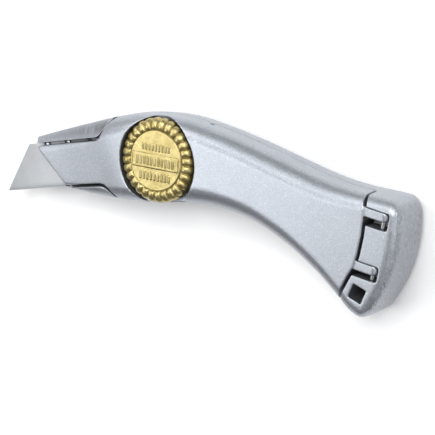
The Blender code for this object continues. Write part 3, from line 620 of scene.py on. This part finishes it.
def mark_surface(shape):
    """Marks two things on each point, from 0 to 1: how far it gets painted shade, being well under
    the outer skin in the seams, slots, holes and hollows, and how far it is the coarsely textured
    rear face."""
    skin = full_body()
    tree = BVHTree.FromObject(skin, bpy.context.evaluated_depsgraph_get())
    points = shape.data.vertices
    depth = np.array([tree.find_nearest(point.co)[3] for point in points], np.float32)
    bpy.data.objects.remove(skin, do_unlink=True)
    rear = Vector((math.cos(HINGE_ANGLE), math.sin(HINGE_ANGLE), 0.0))
    facing = np.array([point.normal.dot(rear) for point in points], np.float32)
    behind = np.array([(point.co - Vector(HINGE)).dot(rear) for point in points], np.float32)
    coarse = fade(facing, 0.45, 0.35) * fade(behind, 1.5, 1.0)
    # The first mark is painted shade, growing from the skin to 0.9 mm under it; the second is the
    # rear face's texture.
    for label, value in (("recess_shade", fade(depth, SKIN, 0.9)), ("coarse", coarse * (depth < SKIN))):
        layer = shape.data.attributes.new(label, "FLOAT", "POINT")
        layer.data.foreach_set("value", value.astype(np.float32))


def finished(thing, name):
    """Takes a shape to metres in the model's frame, with smooth shading."""
    thing.name = name
    thing.data.name = name
    thing.data.transform(Matrix.Translation(SHIFT))
    thing.data.transform(Matrix.Scale(MM, 4))
    thing.data.polygons.foreach_set("use_smooth", [True] * len(thing.data.polygons))
    thing.data.update()
    return thing


# ---------------------------------------------------------------- knob

def smooth_step(low, high, value):
    t = fade(value, low, high - low)
    return t * t * (3 - 2 * t)


def plateau(along, across, length, width, soft):
    """1 inside a rectangle and 0 outside it, with soft sides."""
    a = 1 - smooth_step(length / 2 - soft, length / 2, np.abs(along))
    b = 1 - smooth_step(width / 2 - soft, width / 2, np.abs(across))
    return a * b


def knob_relief(x, y):
    """Height of the face's pattern: a raised bar with plain ribs on it, and ribs on each side."""
    c, s = math.cos(KNOB_TURN), math.sin(KNOB_TURN)
    along, across = x * c + y * s, -x * s + y * c
    height = 0.30 * plateau(along, across + 0.3, 22.2, 6.0, 0.35)
    # Each row of ribs: how many, first place, pitch, place across, rise, length, width, softness.
    for count, first, pitch, middle, rise, length, width, soft in (
            (11, -8.5, 1.7, -0.3, 0.30, 1.0, 3.4, 0.32),
            (9, -6.8, 1.7, -6.4, 0.34, 1.05, 3.2, 0.35),
            (9, -6.2, 1.55, 5.3, 0.30, 0.85, 2.8, 0.28)):
        for k in range(count):
            height += rise * plateau(along - first - pitch * k, across - middle, length, width,
                                     soft)
    return height


def bead_point(t, crown):
    """(radius, z) on the beaded rim: t runs from the face's edge out and over to the side."""
    start = (KNOB_FACE_RADIUS + 0.1, -0.8)
    bend = (KNOB_RADIUS - BEAD_RISE - 0.15, -0.85)
    end = (KNOB_RADIUS - BEAD_RISE, -3.0)
    radius = start[0] * (1 - t) ** 2 + bend[0] * 2 * t * (1 - t) + end[0] * t * t
    z = start[1] * (1 - t) ** 2 + bend[1] * 2 * t * (1 - t) + end[1] * t * t
    out = -2 * (1 - t) * (bend[1] - start[1]) - 2 * t * (end[1] - bend[1])
    up = 2 * (1 - t) * (bend[0] - start[0]) + 2 * t * (end[0] - bend[0])
    length = math.hypot(out, up)
    nose = min(t / 0.3, 1.0)       # each bead's inner end is rounded over this part of it
    rise = BEAD_RISE * crown * math.sqrt(1 - (1 - nose) ** 2)
    return radius + rise * out / length, KNOB_TOP + z + rise * up / length


def knob_shape():
    """The knob from rings of points about its axis: face, beads, side, and the hollow below."""
    per_bead = 22
    count = KNOB_BEADS * per_bead
    angles = 2 * math.pi * np.arange(count) / count
    phase = (np.arange(count) % per_bead) / per_bead * 2 - 1
    crown = np.sqrt(1 - phase ** 2)
    c, s = np.cos(angles), np.sin(angles)
    face = KNOB_TOP - KNOB_FACE_DROP
    rings = []

    def add(radius, z):
        rings.append((radius * c, radius * s, z + np.zeros(count)))

    face_rings = 70
    inner = KNOB_FACE_RADIUS - 0.4
    for k in range(face_rings):
        radius = inner * (k + 1) / face_rings
        add(radius, face + knob_relief(radius * c, radius * s))
    groove_width, groove_depth = 0.45, 0.42
    for t in (0.25, 0.5, 0.75, 1.0):
        add(inner + groove_width * t, face - groove_depth * t * t)
    bead_steps = 26
    for k in range(bead_steps + 1):
        add(*bead_point(k / bead_steps, crown))
    outer = KNOB_RADIUS - BEAD_RISE * (1 - crown)
    for level in (1.2, 0.7):
        add(outer, KNOB_BASE + level)
    add(outer - 0.25, KNOB_BASE + 0.25)
    add(outer - 0.8, KNOB_BASE)
    hollow, hub, hole = 8.2, 4.2, SCREW_RADIUS + GAP
    for radius, level in ((hollow + 1.0, 0.0), (hollow, 0.3), (hollow, HUB_HEIGHT),
                          (hub, HUB_HEIGHT), (hub, 0.3), (hub - 0.2, 0.0), (hole, 0.0),
                          (hole, SCREW_END + 0.3 - KNOB_BASE)):
        add(radius, KNOB_BASE + level)
    points = np.concatenate([np.stack(ring, 1) for ring in rings])
    points[:, :2] += KNOB
    faces = []
    for row in range(len(rings) - 1):
        a, b = row * count, (row + 1) * count
        for i in range(count):
            j = (i + 1) % count
            faces.append((a + i, b + i, b + j, a + j))
    top, last = len(points), (len(rings) - 1) * count
    points = np.vstack([points, [*KNOB, face + float(knob_relief(0.0, 0.0))]])
    faces += [(top, i, (i + 1) % count) for i in range(count)]
    faces.append(tuple(range(last, last + count))[::-1])
    return solid("knob", points.tolist(), faces)


# ---------------------------------------------------------------- materials

ENAMEL_DARK = (0.34, 0.365, 0.405)
ENAMEL_LIGHT = (0.44, 0.465, 0.505)
ENAMEL_SPARK = (0.80, 0.83, 0.86)
# Painted shade: the dark grey given to points well under the outer skin, in the seams, slots,
# holes and hollows.
RECESS_SHADE = (0.2, 0.207, 0.215)
FLECKS_PER_METRE = 3600.0      # bright flakes in the enamel
ALONG_X = (1.0, 14.0, 1.0)     # how noise is squeezed, so that it draws out into lines along X
ALONG_Y = (14.0, 1.0, 1.0)


class Paint:
    """A small helper for building one procedural material."""

    def __init__(self, name):
        self.material = bpy.data.materials.new(name)
        self.material.use_nodes = True
        self.tree = self.material.node_tree
        self.shader = self.tree.nodes["Principled BSDF"]
        self.place = self.tree.nodes.new("ShaderNodeTexCoord").outputs["Object"]

    def node(self, kind, inputs=None, **settings):
        """A new node. An input that is another node's output is linked, and the rest are set."""
        made = self.tree.nodes.new("ShaderNode" + kind)
        for key, value in settings.items():
            setattr(made, key, value)
        for key, value in (inputs or {}).items():
            if isinstance(value, bpy.types.NodeSocket):
                self.tree.links.new(value, made.inputs[key])
            else:
                made.inputs[key].default_value = value
        return made

    def noise(self, size, detail, roughness, stretch=None, turn=None):
        """Noise whose features are about this size in millimetres."""
        place = self.place
        if stretch or turn:
            mapping = self.node("Mapping", {"Vector": place})
            if turn:
                mapping.inputs["Rotation"].default_value = (0.0, 0.0, turn)
            if stretch:
                mapping.inputs["Scale"].default_value = stretch
            place = mapping.outputs["Vector"]
        made = self.node("TexNoise", {"Vector": place, "Scale": 1000.0 / size,
                                      "Detail": detail, "Roughness": roughness})
        return made.outputs["Fac"]

    def ramp(self, value, *stops):
        """Colour or grey from a value: stops are (place, colour)."""
        made = self.node("ValToRGB", {"Fac": value})
        ramp = made.color_ramp
        while len(ramp.elements) < len(stops):
            ramp.elements.new(0.5)
        for element, (place, colour) in zip(ramp.elements, stops):
            element.position = place
            grey = isinstance(colour, float)
            element.color = (colour, colour, colour, 1.0) if grey else (*colour, 1.0)
        return made.outputs["Color"]

    def mix(self, amount, first, second, blend="MIX"):
        """One colour from two. Each may be a colour or another node's output."""
        made = self.node("Mix", data_type="RGBA", blend_type=blend)
        for socket, value in ((made.inputs[0], amount), (made.inputs[6], first),
                              (made.inputs[7], second)):
            if isinstance(value, bpy.types.NodeSocket):
                self.tree.links.new(value, socket)
            elif isinstance(value, float):
                socket.default_value = value
            else:
                socket.default_value = (*value, 1.0)
        return made.outputs[2]

    def maths(self, operation, first, second):
        return self.node("Math", {0: first, 1: second}, operation=operation).outputs[0]

    def bump(self, height, distance, under=None):
        """A bump this deep in millimetres, on top of another one if given."""
        made = self.node("Bump", {"Height": height, "Distance": distance * MM, "Strength": 1.0})
        if under:
            self.tree.links.new(under, made.inputs["Normal"])
        return made.outputs["Normal"]

    def set(self, **values):
        """Sets or links the shader's own sockets, and gives back the finished material."""
        for key, value in values.items():
            socket = self.shader.inputs[key.replace("_", " ")]
            if isinstance(value, bpy.types.NodeSocket):
                self.tree.links.new(value, socket)
            else:
                socket.default_value = value
        return self.material


def casting_paint(name, roughness, grain):
    """Silver enamel over a die casting: fine pebbled grain, streaks and pits on the rear face, and
    dark grey painted shade in the seams, slots, holes and hollows."""
    paint = Paint(name)
    fine = paint.noise(0.7, 3.0, 0.6)
    broad = paint.noise(12.0, 3.0, 0.55)
    # Painted shade: how far a point lies under the skin, in the seams, slots, holes and hollows.
    recess_shade = paint.node("Attribute", attribute_name="recess_shade").outputs["Fac"]
    coarse = paint.node("Attribute", attribute_name="coarse").outputs["Fac"]
    tone = paint.ramp(fine, (0.3, ENAMEL_DARK), (0.7, ENAMEL_LIGHT))
    shade = paint.ramp(broad, (0.3, 0.95), (0.7, 1.0))
    tone = paint.mix(1.0, tone, shade, "MULTIPLY")
    flecks = paint.node("TexVoronoi", {"Vector": paint.place, "Scale": FLECKS_PER_METRE},
                        feature="F1").outputs["Color"]
    spark = paint.node("SeparateColor", {"Color": flecks}).outputs[0]
    spark = paint.ramp(spark, (0.84, 0.0), (1.0, 0.35))
    tone = paint.mix(spark, tone, ENAMEL_SPARK)
    streaks = paint.noise(0.7, 3.0, 0.6, stretch=(1.0, 0.4, 1.0))
    mottle = paint.ramp(streaks, (0.35, 0.80), (0.65, 1.08))
    mottle = paint.mix(coarse, (1.0, 1.0, 1.0), mottle)
    tone = paint.mix(1.0, tone, mottle, "MULTIPLY")
    # Painted shade: dark grey in place of the enamel under the skin.
    tone = paint.mix(recess_shade, tone, RECESS_SHADE)
    rough = paint.ramp(fine, (0.25, roughness - 0.06), (0.75, roughness + 0.08))
    pebbles = paint.bump(paint.noise(0.8, 3.0, 0.65), grain)
    lumps = paint.maths("MULTIPLY", streaks, coarse)
    bumps = paint.bump(lumps, 0.55, under=pebbles)
    return paint.set(Base_Color=tone, Roughness=rough, Normal=bumps, Metallic=0.88,
                     Coat_Weight=0.1, Coat_Roughness=0.35)


def brass_material(name, dark, light, roughness, grime):
    """Brass, darker in the hollows by as much as the grime, with a painted highlight: the flat
    face a little darker and raised edges and letters lighter.
    """
    paint = Paint(name)
    broad = paint.noise(4.0, 3.0, 0.6)
    fine = paint.noise(0.5, 3.0, 0.6)
    tone = paint.ramp(broad, (0.3, dark), (0.7, light))
    edge = paint.node("NewGeometry").outputs["Pointiness"]
    # Grime in the hollows, and a painted highlight: flat faces a little darker, raised edges and
    # letters lighter, as if catching the light.
    grime_and_edge_highlight = paint.ramp(edge, (0.44, grime), (0.5, 0.86), (0.6, 1.15))
    tone = paint.mix(1.0, tone, grime_and_edge_highlight, "MULTIPLY")
    rough = paint.ramp(fine, (0.3, roughness - 0.07), (0.7, roughness + 0.1))
    pits = paint.bump(paint.noise(1.5, 3.0, 0.65), 0.16)
    bumps = paint.bump(fine, 0.04, under=pits)
    return paint.set(Base_Color=tone, Roughness=rough, Normal=bumps, Metallic=1.0)


def steel_material(name, dark, light, roughness, turn=0.0, stretch=ALONG_X, metallic=1.0):
    """Ground steel with fine lines one way."""
    paint = Paint(name)
    lines = paint.noise(0.35, 2.0, 0.6, stretch=stretch, turn=turn)
    broad = paint.noise(6.0, 3.0, 0.6)
    tone = paint.ramp(lines, (0.25, dark), (0.75, light))
    shade = paint.ramp(broad, (0.3, 0.92), (0.7, 1.0))
    tone = paint.mix(1.0, tone, shade, "MULTIPLY")
    rough = paint.ramp(lines, (0.2, roughness - 0.06), (0.8, roughness + 0.08))
    bumps = paint.bump(lines, 0.01)
    return paint.set(Base_Color=tone, Roughness=rough, Normal=bumps, Metallic=metallic)


# ---------------------------------------------------------------- assembly

def smooth_group():
    """A modifier that shades smooth across shallow edges and keeps the others crisp."""
    group = bpy.data.node_groups.new("soft_shading", "GeometryNodeTree")
    group.interface.new_socket("Geometry", in_out="INPUT", socket_type="NodeSocketGeometry")
    group.interface.new_socket("Geometry", in_out="OUTPUT", socket_type="NodeSocketGeometry")
    start = group.nodes.new("NodeGroupInput")
    end = group.nodes.new("NodeGroupOutput")
    angle = group.nodes.new("GeometryNodeInputMeshEdgeAngle")
    shallow = group.nodes.new("FunctionNodeCompare")
    shallow.operation = "LESS_EQUAL"
    shallow.inputs["B"].default_value = SMOOTH_ANGLE
    faces = group.nodes.new("GeometryNodeSetShadeSmooth")
    edges = group.nodes.new("GeometryNodeSetShadeSmooth")
    edges.domain = "EDGE"
    link = group.links.new
    link(start.outputs[0], faces.inputs["Geometry"])
    link(faces.outputs[0], edges.inputs["Geometry"])
    link(angle.outputs["Unsigned Angle"], shallow.inputs["A"])
    link(shallow.outputs[0], edges.inputs["Shade Smooth"])
    link(edges.outputs[0], end.inputs[0])
    return group


def dress(node, material, shading, chamfer):
    """Gives a carried-over node its material, its smooth shading and, if it has a chamfer in
    millimetres, eased edges."""
    thing = NODES[node]
    thing.data.materials.clear()
    thing.data.materials.append(material)
    weld = thing.modifiers.new("weld", "WELD")
    weld.merge_threshold = 1e-6
    if chamfer:
        ease = thing.modifiers.new("ease", "BEVEL")
        ease.width = chamfer * MM
        ease.segments = 2
        ease.limit_method = "ANGLE"
        ease.angle_limit = EASE_ANGLE
    shade = thing.modifiers.new("shade", "NODES")
    shade.node_group = shading


def place(thing, material, body, slot, *nodes):
    """Puts a piece on a body, in place of its CAD nodes."""
    thing.data.materials.clear()
    thing.data.materials.append(material)
    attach(thing, body)
    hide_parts(*nodes)


def build_knife():
    frame_paint = casting_paint("frame_enamel", 0.41, 0.06)
    cover_paint = casting_paint("cover_enamel", 0.40, 0.05)
    brass = brass_material("cast_brass", (0.40, 0.32, 0.125), (0.58, 0.49, 0.23), 0.37, 0.4)
    insert_brass = brass_material("turned_brass", (0.58, 0.42, 0.15), (0.76, 0.60, 0.28), 0.3,
                                  0.6)
    blade_steel = steel_material("blade_ground", (0.36, 0.375, 0.39), (0.46, 0.475, 0.49), 0.5,
                                 stretch=ALONG_Y, metallic=0.6)
    spare_steel = steel_material("spare_ground", (0.55, 0.56, 0.58), (0.72, 0.73, 0.74), 0.36,
                                 turn=-SPARE_ANGLE, stretch=ALONG_Y)
    screw_steel = steel_material("screw_zinc", (0.46, 0.47, 0.49), (0.62, 0.63, 0.64), 0.34)
    spring_steel = steel_material("spring_dark", (0.24, 0.25, 0.27), (0.42, 0.43, 0.45), 0.32)
    washer_steel = steel_material("washer_zinc", (0.48, 0.49, 0.50), (0.62, 0.62, 0.63), 0.36)
    pin_steel = steel_material("pin_ground", (0.34, 0.35, 0.37), (0.48, 0.49, 0.50), 0.32)

    place(cast(frame_shape(), "frame_casting"), frame_paint, "frame",
          "frame_casting_paint", "main_frame")
    place(cast(cover_shape(), "cover_casting"), cover_paint, "cover",
          "cover_casting_paint", "side_cover")
    place(finished(knob_shape(), "brass_knob"), brass, "knob", "knob_brass", "thumb_knob")

    shading = smooth_group()
    spares = ["spare_blade_%d" % (k + 1) for k in range(SPARE_COUNT)]
    pins = ("locating_pin_front", "locating_pin_rear", "hinge_pin_upper", "hinge_pin_lower")
    for nodes, material, chamfer in (
            (("blade",), blade_steel, 0.04),
            (spares, spare_steel, 0.04),
            (("clamp_screw",), screw_steel, 0.0),
            (("clip_screw",), screw_steel, 0.08),
            (("threaded_insert",), insert_brass, 0.08),
            (("retaining_clip",), spring_steel, 0.08),
            (("lift_spring",), spring_steel, 0.0),
            (("blade_clip",), spring_steel, 0.06),
            (("thrust_washer",), washer_steel, 0.1),
            (pins, pin_steel, 0.06)):
        for node in nodes:
            dress(node, material, shading, chamfer)


# ---------------------------------------------------------------- studio

# The studio is in metres, in the model's frame.
# Soft light panels: name, place, what each points at, size and power in watts.
PANELS = (
    ("overhead", (0.42, 0.44, 0.92), (0.05, 0.0, 0.0), (0.8, 0.7), 10.5),
    ("left", (-0.71, 0.10, 0.98), (0.0, 0.0, 0.0), (0.70, 0.75), 5.7),
    ("key", (-0.46, 0.72, 0.60), (0.0, 0.0, 0.0), (0.45, 0.32), 3.2),
    ("right", (0.66, -0.34, 0.72), (0.05, 0.0, 0.0), (0.45, 0.5), 1.7),
)
SKY_COLOUR = (0.95, 0.97, 1.0, 1.0)
SKY_STRENGTH = 0.17
FLOOR_HALF = 2.0               # half the side of its square
FLOOR_LEVEL = -0.0002          # just below the knife, which rests on zero
FLOOR_COLOUR = (0.92, 0.92, 0.92, 1.0)
CAMERA_PLACE = (0.36737, 0.06324, 0.54226)
CAMERA_TURN = (-10.881, 32.831, -9.189)   # in degrees
CAMERA_LENS = 134.0            # lens and sensor in millimetres
CAMERA_SENSOR = 36.0


def build_floor():
    mesh = bpy.data.meshes.new("floor")
    corners = ((-1, -1), (1, -1), (1, 1), (-1, 1))
    mesh.from_pydata([(x * FLOOR_HALF, y * FLOOR_HALF, 0) for x, y in corners], [],
                     [(0, 1, 2, 3)])
    floor = bpy.data.objects.new("floor", mesh)
    floor.location.z = FLOOR_LEVEL
    bpy.context.scene.collection.objects.link(floor)
    pale = bpy.data.materials.new("pale_floor")
    pale.use_nodes = True
    shader = pale.node_tree.nodes["Principled BSDF"]
    shader.inputs["Base Color"].default_value = FLOOR_COLOUR
    shader.inputs["Roughness"].default_value = 0.9
    mesh.materials.append(pale)


def build_lights():
    for name, spot, target, size, power in PANELS:
        lamp = bpy.data.lights.new(name, "AREA")
        lamp.shape = "RECTANGLE"
        lamp.size, lamp.size_y = size
        lamp.energy = power
        thing = bpy.data.objects.new(name, lamp)
        thing.location = spot
        towards = Vector(target) - Vector(spot)
        thing.rotation_euler = towards.to_track_quat("-Z", "Y").to_euler()
        bpy.context.scene.collection.objects.link(thing)
    world = bpy.data.worlds.new("studio")
    world.use_nodes = True
    bpy.context.scene.world = world
    back = world.node_tree.nodes["Background"]
    back.inputs["Color"].default_value = SKY_COLOUR
    back.inputs["Strength"].default_value = SKY_STRENGTH


def build_camera():
    camera = bpy.data.cameras.new("camera")
    camera.sensor_width = CAMERA_SENSOR
    camera.lens = CAMERA_LENS
    camera.clip_start = 0.01
    thing = bpy.data.objects.new("camera", camera)
    thing.location = CAMERA_PLACE
    thing.rotation_euler = [math.radians(a) for a in CAMERA_TURN]
    bpy.context.scene.collection.objects.link(thing)
    bpy.context.scene.camera = thing
    bpy.context.scene.view_settings.view_transform = "Standard"


build_knife()
build_floor()
build_lights()
build_camera()
